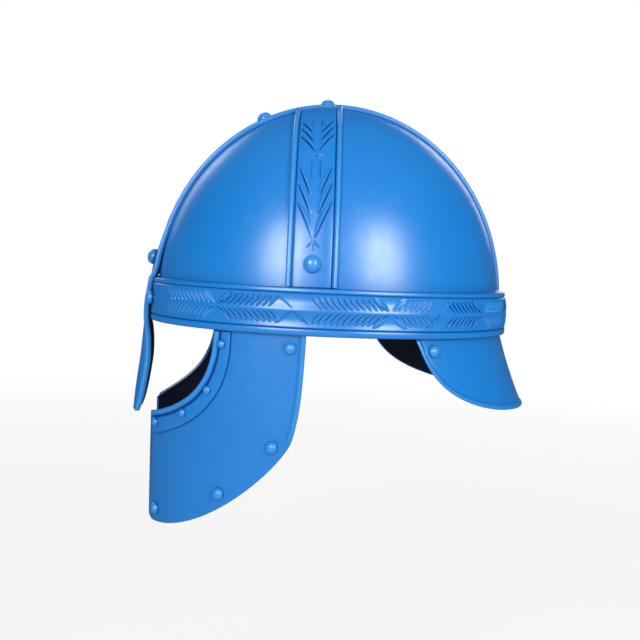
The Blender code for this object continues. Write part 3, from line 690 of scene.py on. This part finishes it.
def bandSection():
    low, high = band["bead"], band["height"] - band["upperBead"]
    edge, inset = 0.0004, 0.0010  # where the groove beside a bead ends, and the ground starts
    grooves = [(z + way * edge, bandFace(z) - 0.8 * band["groove"])
               for z, way in ((low, 1), (high, -1))]
    ground = [low + inset + (high - low - 2 * inset) * step / 18 for step in range(19)]
    return (bandBead(0.0, low) + grooves[:1] + [(z, bandGround(z)) for z in ground]
            + grooves[1:] + bandBead(high, band["upperBead"]))


# Laurel sprays of the band, in mm round it from the ear line, negative to the front. Leaves lie
# above and below the middle ridge, from the spray's root outwards.
bandSprays = [
    {"root": -84.0, "reach": -44.0},
    {"root": -84.0, "reach": 41.0},
    {"root": 25.0, "reach": -48.0},
    {"root": 25.0, "reach": 29.0},
    {"root": 98.0, "reach": -33.0},
    {"root": 98.0, "reach": 32.0},
    {"root": 166.0, "reach": -26.0},
]
# Crossings between sprays: each stem leaves the ridge towards the front or the back, up or down.
bandCrossings = [
    {"at": -34.2, "stems": [(-1, 1), (-1, -1), (1, -1)]},
    {"at": 59.0, "stems": [(-1, -1), (1, 1), (1, -1)]},
    {"at": 134.0, "stems": [(-1, 1), (1, -1)]},
]
bandLeaf = {"length": 6.0, "rise": 7.3, "width": 2.3, "spacing": 3.9, "lift": 0.0011, "bow": 0.5,
            "off": 0.9}           # off: how far from the middle ridge it starts
bandFirstLeaf = {"length": 10.5, "rise": 8.2, "width": 3.2}
bandStem = {"length": 10.5, "reach": 8.8, "width": 1.4, "lift": 0.00088, "off": 0.4}


def bandRibbon(side):
    # Stations along the band's lower edge, from the front round one side to the back
    stations = []
    steps = band["stations"] // 2
    for step in range(steps + 1):
        angle = -math.pi / 2 + math.pi * step / steps
        flat = ovalPoint(band["half"], angle)
        out = ovalPoint(band["half"], angle, 1.0) - flat
        stations.append(station(Vector((flat.x * side, flat.y, band["bottom"])),
                                Vector((out.x * side, out.y, 0.0)), Vector((0, 0, 1))))
    return measure(stations)


def addSpray(bm, wrap, spray):
    way = math.copysign(1.0, spray["reach"])
    room = abs(spray["reach"]) - bandLeaf["length"]
    leaves = round(room / bandLeaf["spacing"])
    off = bandLeaf["off"]
    for level in (1, -1):
        for leaf in range(leaves + 1):
            root = spray["root"] + way * (1.0 + (room - 1.0) * leaf / leaves)
            form = bandLeaf if leaf else bandFirstLeaf
            addBlade(bm, wrap, (root * mm, level * off * mm),
                     ((root + way * form["length"]) * mm, level * (off + form["rise"]) * mm),
                     form["width"] * mm, bandLeaf["lift"], bandLeaf["bow"] * mm, -way * level)


def addCrossing(bm, wrap, crossing):
    for way, level in crossing["stems"]:
        tip = crossing["at"] + way * bandStem["length"]
        addBlade(bm, wrap, (crossing["at"] * mm, level * bandStem["off"] * mm),
                 (tip * mm, level * bandStem["reach"] * mm), bandStem["width"] * mm,
                 bandStem["lift"], 0.0, -way * level)


def buildBrowBand():
    outer = bandSection()
    seatZ = plate["tuck"] + 2 * fit
    inner = [(band["height"], None), (seatZ, None), (seatZ, -band["wall"]),
             (0.0, -band["wall"])]
    section = outer + inner
    bm = startMesh()

    def place(column, row):
        angle = 2 * math.pi * row / band["stations"]
        z, out = section[column % len(section)]
        if out is None:
            flat = ovalPoint(bowl["half"].xy, angle, fit) - Vector((0.0, bowl["forward"]))
        else:
            flat = ovalPoint(band["half"], angle, out)
        ground = band["bead"] < z < band["height"] - band["upperBead"]
        # The grooves beside the beads take painted shade; the leaves' ground takes none.
        relief = 0.0 if ground or out is None else 600 * (out - bandFace(z))
        return Vector((*flat, band["bottom"] + z)), relief

    addGrid(bm, len(section), band["stations"], place,
            inside=lambda column: column >= len(outer))
    middle = band["middle"]
    for side in sides.values():
        ribbon = bandRibbon(side)
        earLine = ribbon["lengths"][-1] / 2

        def wrap(along, across, height, ribbon=ribbon, earLine=earLine):
            z = middle + across
            out = min(bandGround(z) + height, bandGround(middle))
            return ribbonPoint(ribbon, earLine + along, z, out)

        for spray in bandSprays:
            addSpray(bm, wrap, spray)
        for crossing in bandCrossings:
            addCrossing(bm, wrap, crossing)
    return finishPiece("laurel_brow_band", bm, ["brow_band"])


buildBrowBand()
print("brow band chased")


cheek = {
    "drop": 0.1340,
    "front": 0.1197,
    "swell": 0.0042,
    "taper": 0.0055,
    "eyeDrop": 0.0595,
    "eyeBack": 0.0790,
    "corner": 0.0026,
    "rows": 90,
    "columns": 30,
    "rim": 0.0038,
    "rimRise": 0.0008,
    "rimEnds": 0.56,              # share of the drop where the raised edge has died away
    "tabRows": 5,
}
# Back and lower edge seen from the side: shares of front and drop, two cubics
cheekBackCurves = [
    [{"ahead": 0.208, "drop": 0.00}, {"ahead": 0.213, "drop": 0.19},
     {"ahead": 0.214, "drop": 0.37}, {"ahead": 0.262, "drop": 0.50}],
    [{"ahead": 0.262, "drop": 0.50}, {"ahead": 0.325, "drop": 0.625},
     {"ahead": 0.655, "drop": 0.934}, {"ahead": 0.975, "drop": 1.00}],
]
# Raised edge of a plate: distance in from the edge and rise, shares of its width and its rise
rimProfile = [(0.0, 0.25), (0.10, 0.70), (0.26, 0.96), (0.45, 1.0), (0.64, 0.92), (0.80, 0.55),
              (0.92, 0.05), (1.05, -0.18), (1.25, -0.05), (1.5, 0.0)]


def cheekHalf(drop):
    eye = min(max(drop, 0.0) / cheek["eyeDrop"], 1.0)
    jaw = max(drop - cheek["eyeDrop"], 0.0) / (cheek["drop"] - cheek["eyeDrop"])
    wide = plate["half"].x - cheek["taper"] * (0.36 * eye + 0.64 * jaw)
    long = plate["half"].y + cheek["swell"] * (1 - (1 - eye) ** 2 - 0.7 * jaw ** 1.5)
    return Vector((wide, long))


def cheekPoint(ahead, drop, out=0.0):
    half = cheekHalf(drop)
    angle = -math.asin(min(ahead / half.y, 0.999))
    flat = ovalPoint(half, angle, out)
    return Vector((flat.x, flat.y, band["bottom"] - drop))


def mirrored(point, side):
    return Vector((point.x * side, point.y, point.z))


def evenly(points, count):
    lengths = [0.0]
    for before, after in zip(points, points[1:]):
        lengths.append(lengths[-1] + (after - before).length)
    spaced = []
    for step in range(count + 1):
        target = lengths[-1] * step / count
        index = min(max(bisect.bisect_right(lengths, target), 1), len(points) - 1)
        span = lengths[index] - lengths[index - 1]
        spaced.append(points[index - 1].lerp(points[index], (target - lengths[index - 1]) / span))
    return spaced


def eyeCurve(count):
    start = Vector((cheek["eyeBack"], 0.0))
    end = Vector((cheek["front"], cheek["eyeDrop"]))
    return interpolate_bezier(start, start + Vector((0.0, 0.56 * cheek["eyeDrop"])),
                              end - Vector((0.68 * (end.x - start.x), 0.20 * cheek["eyeDrop"])),
                              end, count)


def cheekEdges():
    corner = [Vector((cheek["front"] - cheek["corner"] * (1 - math.cos(turn)),
                      cheek["drop"] - cheek["corner"] * (1 - math.sin(turn))))
              for turn in (0.0, 0.4, 0.8, 1.2)]
    front = evenly(eyeCurve(80)[:-1] + [Vector((cheek["front"], cheek["eyeDrop"]))] + corner,
                   cheek["rows"])
    curves = []
    for ends in cheekBackCurves:
        a, b, c, d = (Vector((end["ahead"] * cheek["front"], end["drop"] * cheek["drop"]))
                      for end in ends)
        curves += interpolate_bezier(a, b, c, d, 60)[1 if curves else 0:]
    return front, evenly(curves, cheek["rows"])


def buildCheekPlate(name, side):
    front, back = cheekEdges()
    tabs = cheek["tabRows"]
    bm = startMesh()

    def place(column, row):
        if row < tabs:
            drop = -plate["tuck"] * (1 - row / tabs)
            fore, aft = Vector((cheek["eyeBack"], drop)), Vector((back[0].x, drop))
        else:
            fore, aft = front[row - tabs], back[row - tabs]
        width = (fore - aft).length
        edge = min(cheek["rim"] / width, 0.3)
        plain = len(rimProfile) - 1
        if column <= plain:
            share, rise = rimProfile[column][0] * edge, rimProfile[column][1]
        else:
            inner = rimProfile[-1][0] * edge
            share = inner + (1 - inner) * (column - plain) / (cheek["columns"] - plain)
            rise = 0.0
        ends = cheek["rimEnds"] * cheek["drop"]
        fade = min(max((ends - aft.y) / (0.25 * ends), 0.0), 1.0) if row >= tabs else 0.0
        spot = aft.lerp(fore, share)
        rise *= cheek["rimRise"] * fade
        # The dip inside the raised edge takes a little painted shade, its top a little painted
        # highlight.
        return mirrored(cheekPoint(spot.x, spot.y, rise), side), 1000 * rise

    addGrid(bm, cheek["columns"], cheek["rows"] + tabs, place)
    return finishPiece("formed_" + name, bm, [name], wall=plate["wall"])


trim = {
    "width": 0.0118,
    "widthFront": 0.0155,
    "setback": 0.0030,            # front end behind the cheek's, so that its thickness ends flush
    "field": 0.0012,
    "bead": 0.0022,
    "beadWidth": 0.0042,
    "stations": 110,
}


def buildEyeTrim(name, side):
    front = cheek["front"] - trim["setback"]
    curve = evenly([spot for spot in eyeCurve(4 * trim["stations"]) if spot.x < front],
                   trim["stations"])
    bead, wide, field = trim["bead"], trim["beadWidth"], trim["field"]
    beadPart = [(0.0, 0.45 * bead), (0.06 * wide, 0.78 * bead), (0.22 * wide, 0.97 * bead),
                (0.42 * wide, bead), (0.62 * wide, 0.93 * bead), (0.80 * wide, 0.70 * bead),
                (0.92 * wide, 0.45 * field), (1.05 * wide, 0.40 * field),
                (1.25 * wide, 0.85 * field), (1.45 * wide, field)]
    fieldPart = [(0.5, 1.0), (0.75, 1.0), (0.93, 1.0), (0.98, 0.85), (1.0, 0.55)]
    count = len(beadPart) + len(fieldPart)
    under = [1.0, 0.66, 0.33, 0.0]
    total = count + len(under)
    bm = startMesh()

    def place(column, row):
        spot = curve[row]
        before, after = curve[max(row - 1, 0)], curve[min(row + 1, len(curve) - 1)]
        travel = (after - before).normalized()
        turned = (row / trim["stations"]) ** 3
        inward = Vector((-travel.y, travel.x)).lerp(Vector((0.0, 1.0)), turned).normalized()
        width = trim["width"] + (trim["widthFront"] - trim["width"]) * row / trim["stations"]
        index = column % total
        if index < len(beadPart):
            across, height = beadPart[index]
        elif index < count:
            across, height = fieldPart[index - len(beadPart)]
            across, height = across * width, height * field
        else:
            across, height = under[index - count] * width, 0.0
        probe = 0.001
        stretch = (cheekPoint(*(spot + inward * probe)) - cheekPoint(*spot)).length / probe
        spot = spot + inward * (across / stretch)
        spot.y = max(spot.y, 3 * fit)
        # The underside and the groove beside the bead take painted shade.
        relief = 1000 * (height - field) if height else -0.5
        point = cheekPoint(spot.x, spot.y, fit + height)
        point.y = max(point.y, -cheek["front"])
        return mirrored(point, side), relief

    addGrid(bm, total, trim["stations"], place)
    bmesh.ops.remove_doubles(bm, verts=bm.verts, dist=0.000005)
    bmesh.ops.holes_fill(bm, edges=[edge for edge in bm.edges if edge.is_boundary], sides=0)
    return finishPiece("beaded_" + name, bm, [name], merge=0.000005)


for sideName, side in sides.items():
    buildCheekPlate("cheek_plate_" + sideName, side)
    buildEyeTrim("eye_trim_" + sideName, side)
print("cheek plates and eye trims formed")


neck = {
    "drop": 0.0488,
    "flare": 0.0190,
    "spread": 0.0080,
    "start": 20.7,                # degrees behind the ear line
    "corner": 0.47,               # a lower power squares its lower corners
    "slant": 0.11,
    "tabSetback": 1.5,            # degrees
    "perMetre": 500.0,            # degrees round it to the metre, where its edge is spaced
    "columns": 150,
    "rim": 0.0034,
    "rimRise": 0.0008,
    "rows": 14,
    "tabRows": 3,
    "samples": 600,
}


def neckPoint(angle, drop, out=0.0):
    share = max(drop, 0.0) / neck["drop"]
    half = Vector((plate["half"].x + neck["spread"] * share,
                   plate["half"].y + neck["flare"] * (0.75 * share + 0.25 * share ** 2)))
    flat = ovalPoint(half, math.radians(angle), out)
    return Vector((flat.x, flat.y, band["bottom"] - drop))


def neckEdge():
    sweep = 90.0 - neck["start"]
    edge = []
    for step in range(neck["samples"] + 1):
        turn = math.pi * step / neck["samples"]
        across, drop = math.cos(turn), math.sin(turn)
        bent = abs(across) ** neck["corner"] - neck["slant"] * drop * (1 - drop) ** 2
        edge.append(Vector((sweep * math.copysign(bent, across) / neck["perMetre"],
                            neck["drop"] * drop)))
    return [Vector((point.x * neck["perMetre"], point.y))
            for point in evenly(edge, neck["columns"])]


def buildNeckGuard():
    edges = neckEdge()
    tabSweep = 90.0 - neck["start"] - neck["tabSetback"]
    columns = neck["columns"]
    rim, tabs = rimProfile, neck["tabRows"]
    bm = startMesh()

    def place(column, row):
        edge = edges[column]
        top = Vector((tabSweep * (1 - 2 * column / columns), 0.0))
        if row > len(rim) + neck["rows"]:
            back = (row - len(rim) - neck["rows"]) / tabs
            return neckPoint(90.0 - top.x, -plate["tuck"] * back), 0.0
        low, high = (neckPoint(90.0 - spot.x, spot.y) for spot in (edge, top))
        width = max((high - low).length, 0.004)
        if row < len(rim):
            share, rise = rim[row]
            inset = min(share * neck["rim"] / width, 0.9 * (row + 1) / len(rim))
        else:
            first = min(rim[-1][0] * neck["rim"] / width, 0.9)
            inset = first + (1 - first) * (row - len(rim) + 1) / (neck["rows"] + 1)
            rise = 0.0
        spot = edge.lerp(top, inset)
        shown = min(max(spot.y / (0.1 * neck["drop"]), 0.0), 1.0)
        rise *= neck["rimRise"] * shown
        # The dip inside the raised edge takes a little painted shade, its top a little painted
        # highlight.
        return neckPoint(90.0 - spot.x, spot.y, rise), 1000 * rise

    addGrid(bm, columns, len(rim) + neck["rows"] + tabs, place)
    return finishPiece("formed_neck_guard", bm, ["neck_guard"], wall=plate["wall"])


buildNeckGuard()
print("neck guard formed")


rivet = {
    "sidesRound": 32,
    "rings": 9,
    "flat": 0.82,                 # below 1 the head is a little flatter than a half ball
    "seat": 0.0004,               # the head is set down into its seat by this
}


def rivetSeat(node):
    # The flat underside of the node's head: its centre, the way out, the radius and the height
    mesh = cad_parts[node].data
    groups = {}
    for polygon in mesh.polygons:
        key = tuple(round(value, 2) for value in polygon.normal)
        groups.setdefault(key, []).append(polygon)
    base = max(groups.values(), key=lambda polygons: sum(one.area for one in polygons))
    area = sum(one.area for one in base)
    out = -sum((one.normal * one.area for one in base), Vector()).normalized()
    rim = {index for one in base for index in one.vertices}
    points = [mesh.vertices[index].co for index in rim]
    centre = sum((one.center * one.area for one in base), Vector()) / area
    radius = max((point - centre).length for point in points)
    height = max((vert.co - centre).dot(out) for vert in mesh.vertices)
    return centre, out, radius, height


def buildRivet(node):
    centre, out, radius, height = rivetSeat(node)
    bm = startMesh()
    angles = [math.pi / 2 * step / rivet["rings"] for step in range(rivet["rings"] + 1)]
    profile = [(radius * math.sin(angle) ** rivet["flat"], height * math.cos(angle))
               for angle in angles]
    profile += [(0.98 * radius, -rivet["seat"]), (0.0, -rivet["seat"])]
    turn = Vector((0, 0, 1)).rotation_difference(out)
    # The head's foot takes painted shade and its dome a painted highlight.
    addTurned(bm, profile, rivet["sidesRound"],
              lambda point: (centre + turn @ point, 1000 * point.z - 0.5))
    return finishPiece("head_" + node, bm, [node], sharp=50.0)


for node in sorted(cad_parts):
    if node.startswith("rivet_"):
        buildRivet(node)
print("rivets headed")


studio = {
    "floorZ": -0.52,
    "floorSize": 30.0,
    "floorColour": "fafafa",
    "floorGlow": 0.50,            # it is lit from beneath, like a light table
    "floorFades": (0.4, 2.4),     # m from the helmet where the floor turns into the white sweep
    "sky": "ffffff",              # as the camera sees it
    "behind": 0.07,               # the pale backdrop, as it lights and mirrors in the helmet
    "beside": 0.02,               # the dim studio on the camera's side
    "overhead": 1.40,
    "overheadSpread": 95.0,       # degrees
    "softboxes": [
        {"name": "rearSoftbox", "azimuth": 27.0, "elevation": 18.0, "power": 13.5},
        {"name": "frontSoftbox", "azimuth": -27.0, "elevation": 18.0, "power": 13.5},
        {"name": "rearRim", "azimuth": 152.0, "elevation": 18.0, "power": 3.0},
        {"name": "frontRim", "azimuth": 208.0, "elevation": 22.0, "power": 3.0},
    ],
    "softboxFar": 1.6,
    "softboxSize": (0.56, 0.72),
}


# Opal acrylic sheet, cast matt and lit from beneath: a pale even ground without a far edge.
def makeFloor():
    made, tree, shader = newMaterial("opalAcrylicSheet")
    shader.inputs["Base Color"].default_value = linear(studio["floorColour"])
    shader.inputs["Roughness"].default_value = 0.9
    shader.inputs["Specular IOR Level"].default_value = 0.1
    spot = addNode(tree, "ShaderNodeTexCoord").outputs["Object"]
    away = addNode(tree, "ShaderNodeVectorMath", {"operation": "LENGTH"}, {0: spot})
    near, far = studio["floorFades"]
    sweep = addNode(tree, "ShaderNodeMapRange", {"interpolation_type": "SMOOTHSTEP"},
                    {"Value": away.outputs["Value"], "From Min": near, "From Max": far,
                     "To Min": studio["floorGlow"]})
    white = addNode(tree, "ShaderNodeEmission", {}, {"Color": linear(studio["sky"])})
    mixed = addNode(tree, "ShaderNodeMixShader", {}, {0: sweep.outputs["Result"]})
    tree.links.new(shader.outputs["BSDF"], mixed.inputs[1])
    tree.links.new(white.outputs["Emission"], mixed.inputs[2])
    tree.links.new(mixed.outputs["Shader"], tree.nodes["Material Output"].inputs["Surface"])
    bm = bmesh.new()
    bmesh.ops.create_grid(bm, x_segments=1, y_segments=1, size=studio["floorSize"] / 2)
    mesh = bpy.data.meshes.new("floor")
    bm.to_mesh(mesh)
    bm.free()
    mesh.materials.append(made)
    floor = bpy.data.objects.new("floor", mesh)
    floor.location.z = studio["floorZ"]
    floor.visible_glossy = False
    bpy.context.scene.collection.objects.link(floor)


def addLamp(name, kind, place, target):
    data = bpy.data.lights.new(name, kind)
    lamp = bpy.data.objects.new(name, data)
    lamp.location = place
    lamp.rotation_euler = (target - place).to_track_quat("-Z", "Y").to_euler()
    bpy.context.scene.collection.objects.link(lamp)
    return lamp


def lightStudio():
    world = bpy.data.worlds.new("paleStudio")
    world.use_nodes = True
    tree = world.node_tree
    sky = tree.nodes["Background"]
    way = addNode(tree, "ShaderNodeTexCoord").outputs["Generated"]
    way = addNode(tree, "ShaderNodeSeparateXYZ", {}, {"Vector": way}).outputs["X"]
    room = addNode(tree, "ShaderNodeMapRange", {"interpolation_type": "SMOOTHSTEP"},
                   {"Value": way, "From Min": -0.25, "From Max": 0.45,
                    "To Min": studio["behind"], "To Max": studio["beside"]})
    seen = addNode(tree, "ShaderNodeLightPath").outputs["Is Camera Ray"]
    strength = addNode(tree, "ShaderNodeMapRange", {},
                       {"Value": seen, "To Min": room.outputs["Result"], "To Max": 1.0})
    sky.inputs["Color"].default_value = linear(studio["sky"])
    tree.links.new(strength.outputs["Result"], sky.inputs["Strength"])
    bpy.context.scene.world = world
    bpy.context.scene.view_settings.view_transform = "Standard"

    middle = Vector((0.0, 0.0, -0.10))
    for box in studio["softboxes"]:
        turn, rise = math.radians(box["azimuth"]), math.radians(box["elevation"])
        way = Vector((math.cos(turn) * math.cos(rise), math.sin(turn) * math.cos(rise),
                      math.sin(rise)))
        lamp = addLamp(box["name"], "AREA", middle + way * studio["softboxFar"], middle)
        lamp.data.shape = "RECTANGLE"
        lamp.data.size, lamp.data.size_y = studio["softboxSize"]
        lamp.data.energy = box["power"]
    overhead = addLamp("overheadScrim", "SUN", middle + Vector((0.1, 0.1, 2.0)), middle)
    overhead.data.energy = studio["overhead"]
    overhead.data.angle = math.radians(studio["overheadSpread"])
    overhead.visible_glossy = False


# The view of the photograph, fitted to the helmet's outline
camera = {
    "place": Vector((0.6118, -0.0775, -0.0981)),
    "back": Vector((0.9904, -0.1157, 0.0753)),
    "roll": 2.66,                 # degrees
    "lens": 49.11,
    "sensor": 36.0,
}


def placeCamera():
    data = bpy.data.cameras.new("photoView")
    data.lens = camera["lens"]
    data.sensor_width = camera["sensor"]
    data.clip_start = 0.01
    view = bpy.data.objects.new("photoView", data)
    back = camera["back"].normalized()
    right = Vector((0, 0, 1)).cross(back).normalized()
    up = back.cross(right)
    roll = math.radians(camera["roll"])
    rolledRight = right * math.cos(roll) + up * math.sin(roll)
    rolledUp = up * math.cos(roll) - right * math.sin(roll)
    turn = Matrix((rolledRight, rolledUp, back)).transposed().to_4x4()
    view.matrix_world = Matrix.Translation(camera["place"]) @ turn
    bpy.context.scene.collection.objects.link(view)
    bpy.context.scene.camera = view


makeFloor()
lightStudio()
placeCamera()
print("studio lit")
